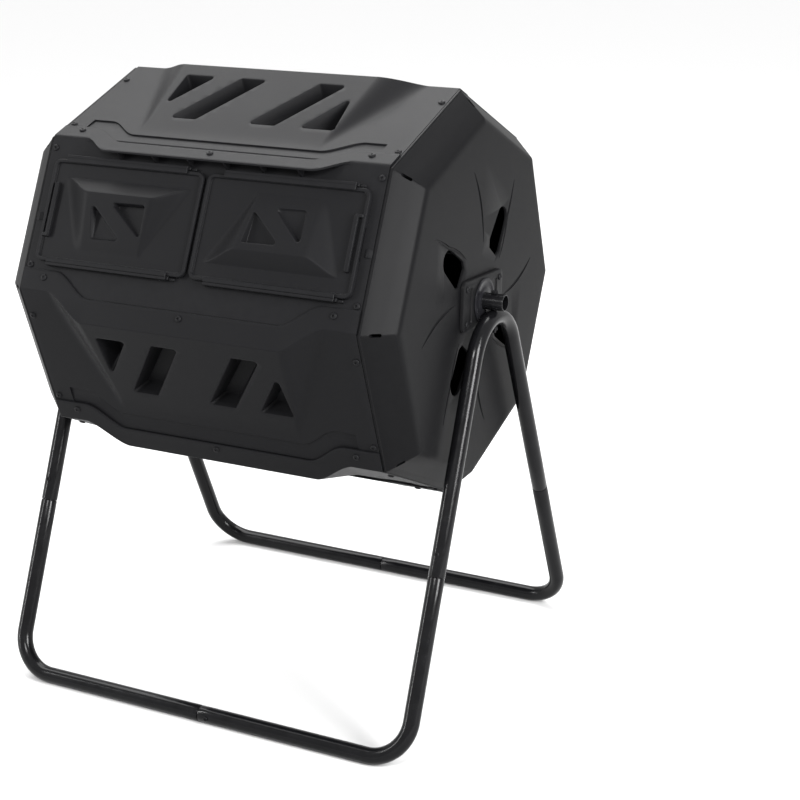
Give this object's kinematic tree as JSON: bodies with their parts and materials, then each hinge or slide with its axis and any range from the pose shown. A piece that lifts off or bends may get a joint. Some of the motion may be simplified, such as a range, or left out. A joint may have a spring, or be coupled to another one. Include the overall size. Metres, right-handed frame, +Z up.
{
  "type": "compost tumbler",
  "caption": "Eight-sided drum of louvred moulded panels with an inner divider and sliding doors, turning on an axle between bent-tube A-frame legs, for making compost.",
  "frame": {"origin": "on the ground, under the middle of the drum", "axes": "+X along the axle towards the right-hand end, -Y the side with the doors, +Z up"},
  "size_m": [0.7316, 0.646, 0.949],
  "materials": {
    "cap_plastic": "fine-grained moulded black plastic",
    "divider_plastic": "plain moulded black plastic",
    "panel_plastic": "fine-grained moulded black plastic",
    "door_panel_plastic": "fine-grained moulded black plastic",
    "door_plastic": "fine-grained moulded black plastic",
    "hub_plastic": "smooth moulded black plastic",
    "hub_bearing": "smooth black plastic",
    "axle_paint": "glossy black powder coat",
    "frame_paint": "glossy black powder coat",
    "axle_fastener": "black-coated bolt and nut",
    "frame_screw": "black-coated screw",
    "panel_screw": "black-coated cross-head screw"
  },
  "bodies": {
    "stand": {"axle_tube": "axle_paint", "axle_bolt_left": "axle_fastener", "axle_bolt_right": "axle_fastener", "axle_nut_left": "axle_fastener", "axle_nut_right": "axle_fastener", "upper_frame_left": "frame_paint", "upper_frame_right": "frame_paint", "lower_leg_front_left": "frame_paint", "lower_leg_front_right": "frame_paint", "lower_leg_back_left": "frame_paint", "lower_leg_back_right": "frame_paint", "leg_screw_front_left": "frame_screw", "leg_screw_front_right": "frame_screw", "leg_screw_back_left": "frame_screw", "leg_screw_back_right": "frame_screw", "bar_screw_front": "frame_screw", "bar_screw_back": "frame_screw"},
    "drum": {"end_cap_left": "cap_plastic", "end_cap_right": "cap_plastic", "divider": "divider_plastic", "side_panel_1": "panel_plastic", "side_panel_2": "panel_plastic", "side_panel_3": "panel_plastic", "side_panel_4": "panel_plastic", "side_panel_5": "panel_plastic", "side_panel_6": "panel_plastic", "side_panel_7": "panel_plastic", "door_panel": "door_panel_plastic", "cap_screws_left": "panel_screw", "cap_screws_right": "panel_screw", "seam_screws": "panel_screw", "divider_screws": "panel_screw", "hub_plate_left": "hub_plastic", "hub_plate_right": "hub_plastic", "hub_screws_left": "panel_screw", "hub_screws_right": "panel_screw", "hub_bush_left": "hub_bearing", "hub_bush_right": "hub_bearing", "hub_washer_left": "hub_bearing", "hub_washer_right": "hub_bearing"},
    "door_left": {"door_left": "door_plastic"},
    "door_right": {"door_right": "door_plastic"}
  },
  "joints": [
    {"name": "drum_spin", "type": "hinge", "parent": "stand", "child": "drum", "pos_m": [0, 0, 0.626], "axis": [1, 0, 0], "continuous": true},
    {"name": "door_left_slide", "type": "slide", "parent": "drum", "child": "door_left", "axis": [-1, 0, 0], "range_m": [0, 0.068]},
    {"name": "door_right_slide", "type": "slide", "parent": "drum", "child": "door_right", "axis": [1, 0, 0], "range_m": [0, 0.068]}
  ]
}
